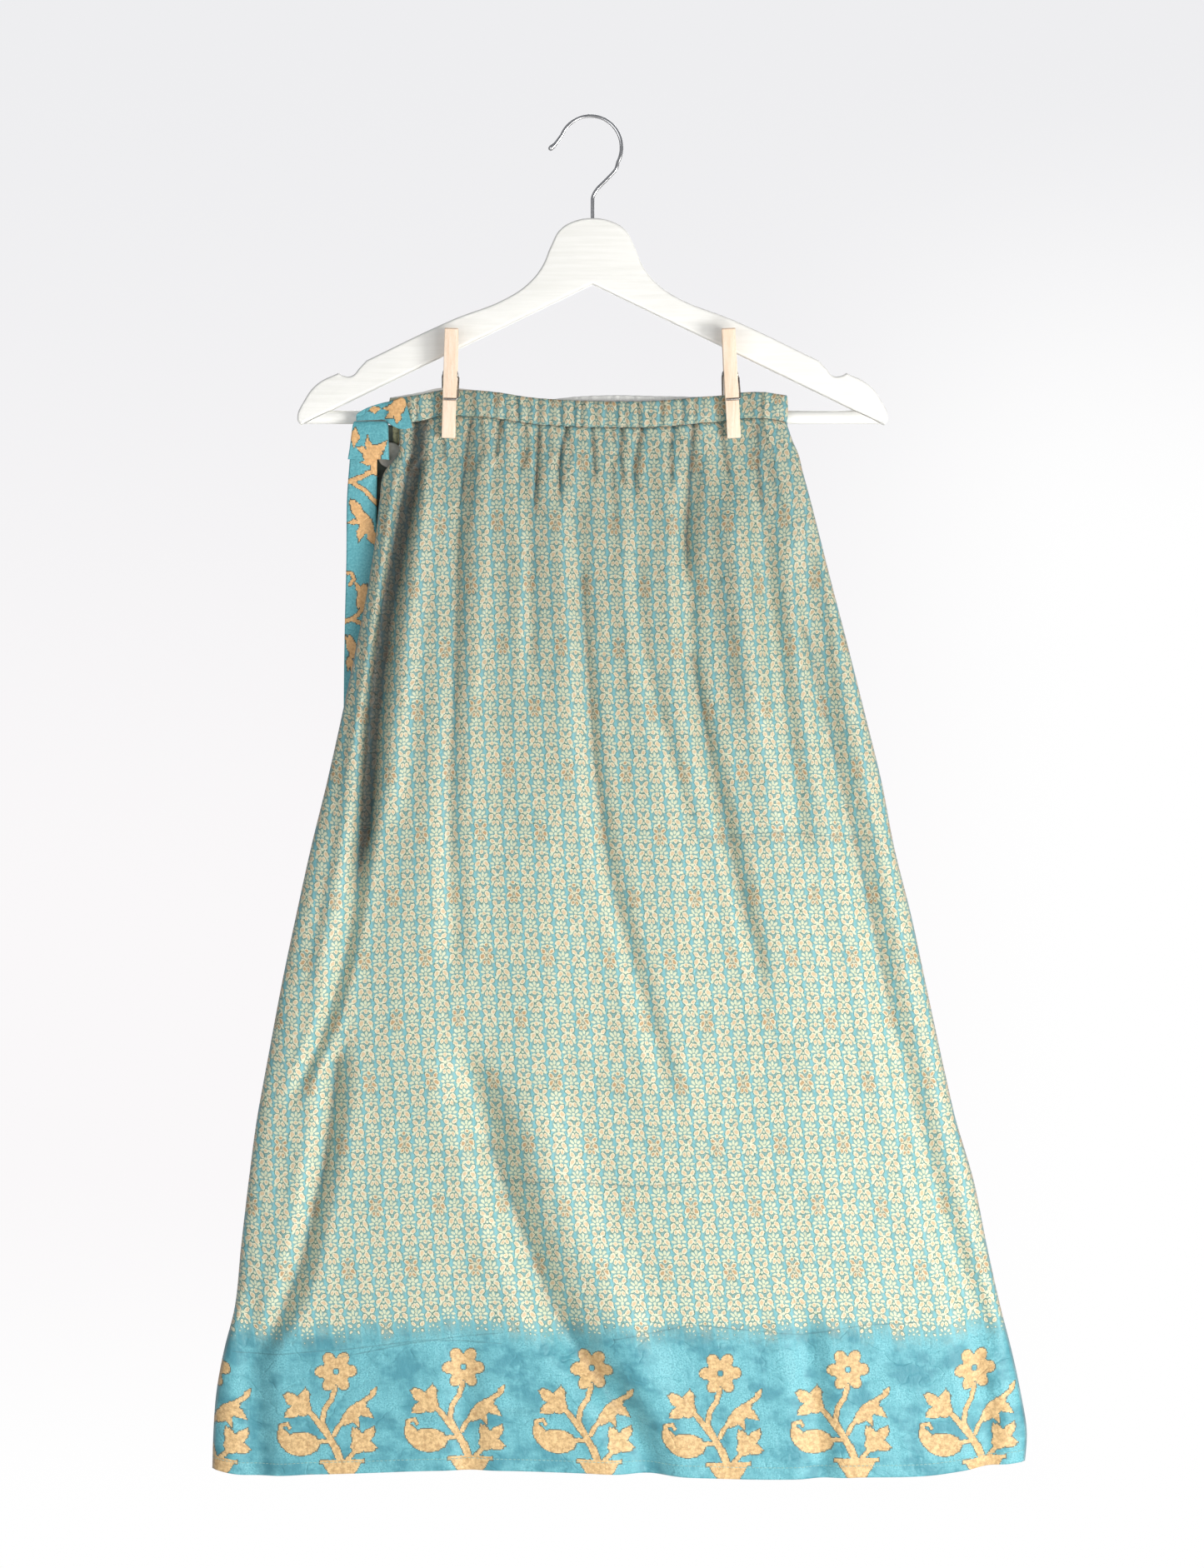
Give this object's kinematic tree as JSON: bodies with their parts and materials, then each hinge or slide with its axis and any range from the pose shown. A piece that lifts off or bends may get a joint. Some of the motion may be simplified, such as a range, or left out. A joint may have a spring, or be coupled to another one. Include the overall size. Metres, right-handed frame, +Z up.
{
  "type": "gathered a-line skirt with waist tie on a clothes hanger",
  "caption": "Knee-length gathered A-line skirt with a turned hem and a folded waist tie, pegged on a flat wooden clothes hanger with a swivel hook.",
  "frame": {"origin": "inside of the crest of the hanger's hook, where a rail holds it", "axes": "+Z up, +X to the viewer's right, and the garment's front faces -Y"},
  "size_m": [0.6046, 0.054, 1.0112],
  "materials": {
    "printed_satin": "soft satin, small leaf print",
    "teal_border_satin": "soft satin",
    "tie_inside": "matt",
    "grey_plastic": "satin",
    "white_painted_wood": "painted satin",
    "polished_steel": "polished",
    "pale_wood": "bare, sanded",
    "spring_steel": "drawn wire"
  },
  "bodies": {
    "root": {"skirt_front": "printed_satin", "skirt_back": "printed_satin", "waistband_front": "printed_satin", "waistband_back": "printed_satin", "tie_wrap": "teal_border_satin", "tie_fold": "teal_border_satin", "tie_tail": "teal_border_satin", "tie_under": "tie_inside", "waist_button": "grey_plastic", "hanger_body": "white_painted_wood", "hanger_bar": "white_painted_wood", "hanger_hook": "polished_steel", "peg_left_front": "pale_wood", "peg_left_back": "pale_wood", "peg_left_spring": "spring_steel", "peg_right_front": "pale_wood", "peg_right_back": "pale_wood", "peg_right_spring": "spring_steel"}
  },
  "joints": []
}
